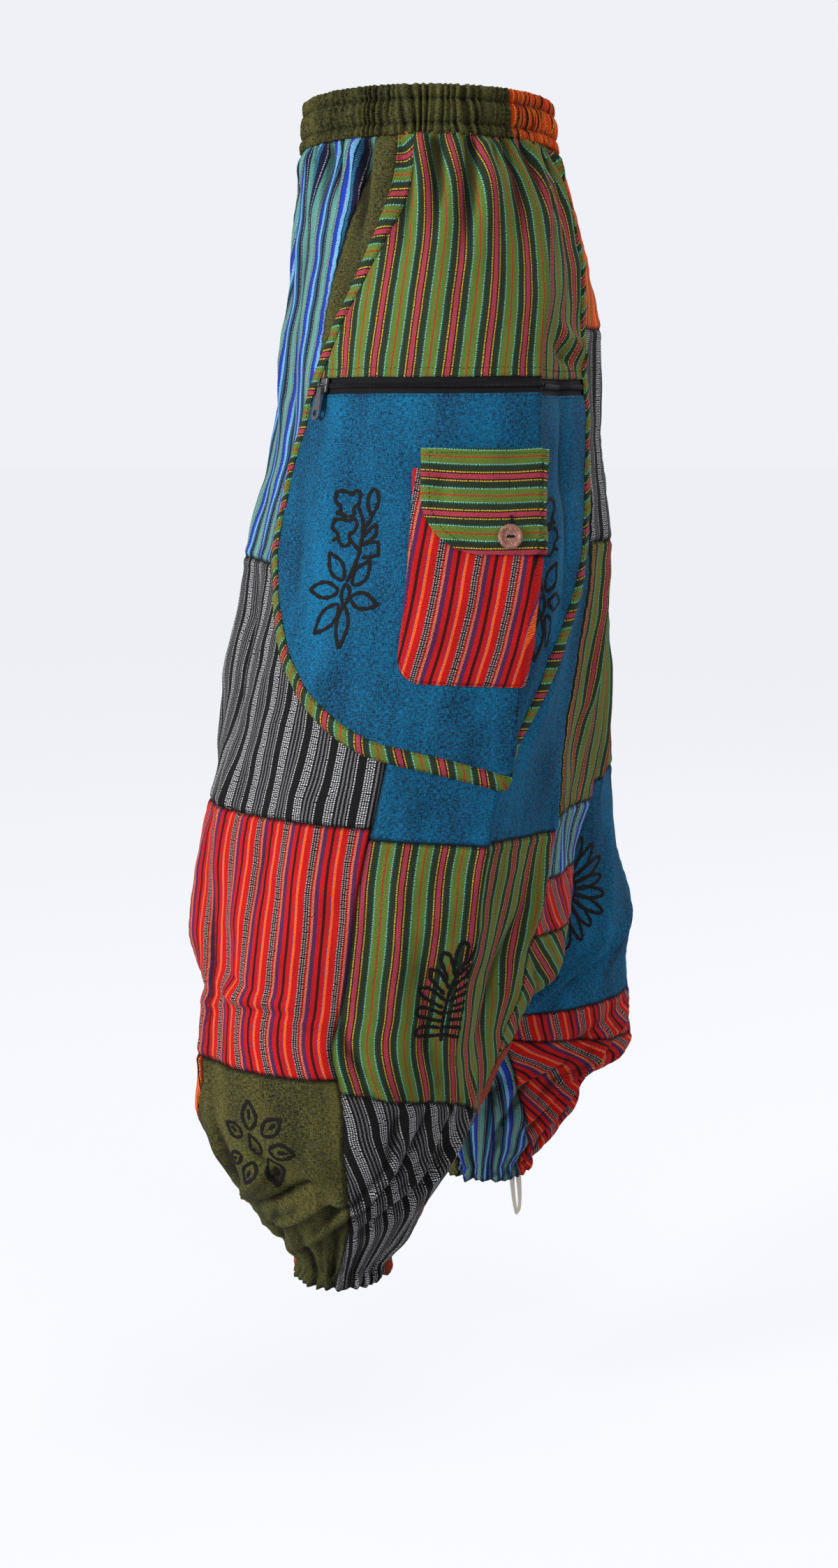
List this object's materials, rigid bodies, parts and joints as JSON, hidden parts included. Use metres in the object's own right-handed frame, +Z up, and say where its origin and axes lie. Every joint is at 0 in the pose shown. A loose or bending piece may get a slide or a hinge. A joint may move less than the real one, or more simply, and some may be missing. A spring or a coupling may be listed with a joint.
{
  "type": "harem trousers",
  "caption": "Patchwork cotton harem trousers in worn form: drop crotch, gathered waistband and cuffs, bound side panels, and a zipped pocket with a buttoned patch pocket on the left leg.",
  "frame": {"origin": "centre of the waist opening, at the waistband's top edge", "axes": "+X towards the wearer's left, the front faces -Y, +Z up out of the waist"},
  "size_m": [0.4948, 0.3666, 0.9743],
  "materials": {
    "blue_cotton": "teal blue chambray",
    "blue_stripe": "woven cotton, blue, sea green and white stripes",
    "coconut": "satin coconut shell",
    "cream_tape": "natural cotton tape",
    "green_stripe": "woven cotton, lime, rose, black and teal stripes",
    "grey_stripe": "woven cotton, black and grey stripes",
    "gunmetal": "dark plated metal",
    "olive_cotton": "olive chambray",
    "orange_stripe": "woven cotton, orange, yellow and rust stripes",
    "red_stripe": "woven cotton, red, black, peach and purple stripes",
    "rust_cotton": "plain rust cotton",
    "zip_black": "black woven zip tape and coil"
  },
  "bodies": {
    "garment": {"left_front_blue_stripe": "blue_stripe", "left_front_olive_strip": "olive_cotton", "left_front_grey": "grey_stripe", "left_front_red": "red_stripe", "left_front_orange": "orange_stripe", "left_front_olive": "olive_cotton", "left_side_blue": "blue_cotton", "left_side_green": "green_stripe", "left_side_grey": "grey_stripe", "left_back_orange": "orange_stripe", "left_back_grey": "grey_stripe", "left_back_green": "green_stripe", "left_back_blue_stripe": "blue_stripe", "left_back_red": "red_stripe", "left_crotch_green": "green_stripe", "left_back_rust": "rust_cotton", "right_front_grey": "grey_stripe", "right_front_red": "red_stripe", "right_front_green": "green_stripe", "right_front_blue_stripe": "blue_stripe", "right_front_olive": "olive_cotton", "right_side_green": "green_stripe", "right_side_blue_stripe": "blue_stripe", "right_side_orange": "orange_stripe", "right_back_orange": "orange_stripe", "right_back_olive": "olive_cotton", "right_back_green": "green_stripe", "right_back_blue": "blue_cotton", "right_back_red": "red_stripe", "right_lower_red": "red_stripe", "right_inner_blue_stripe": "blue_stripe", "waistband_olive": "olive_cotton", "waistband_orange": "orange_stripe", "left_panel_green": "green_stripe", "left_panel_blue": "blue_cotton", "left_panel_binding": "green_stripe", "left_zip_tape": "zip_black", "left_zip_coil": "zip_black", "right_panel_green": "green_stripe", "right_panel_blue": "blue_cotton", "right_panel_binding": "green_stripe", "patch_pocket": "red_stripe", "pocket_flap": "green_stripe", "button": "coconut", "zip_slider": "gunmetal", "cuff_tape_loop": "cream_tape"},
    "pull_tab": {"zip_pull": "gunmetal"}
  },
  "joints": [
    {"name": "pull_tab_swing", "type": "hinge", "parent": "garment", "child": "pull_tab", "pos_m": [0.17316, -0.07905, -0.22523], "axis": [-0.7841, -0.6206, -0.0058], "range_deg": [0, 130]}
  ]
}
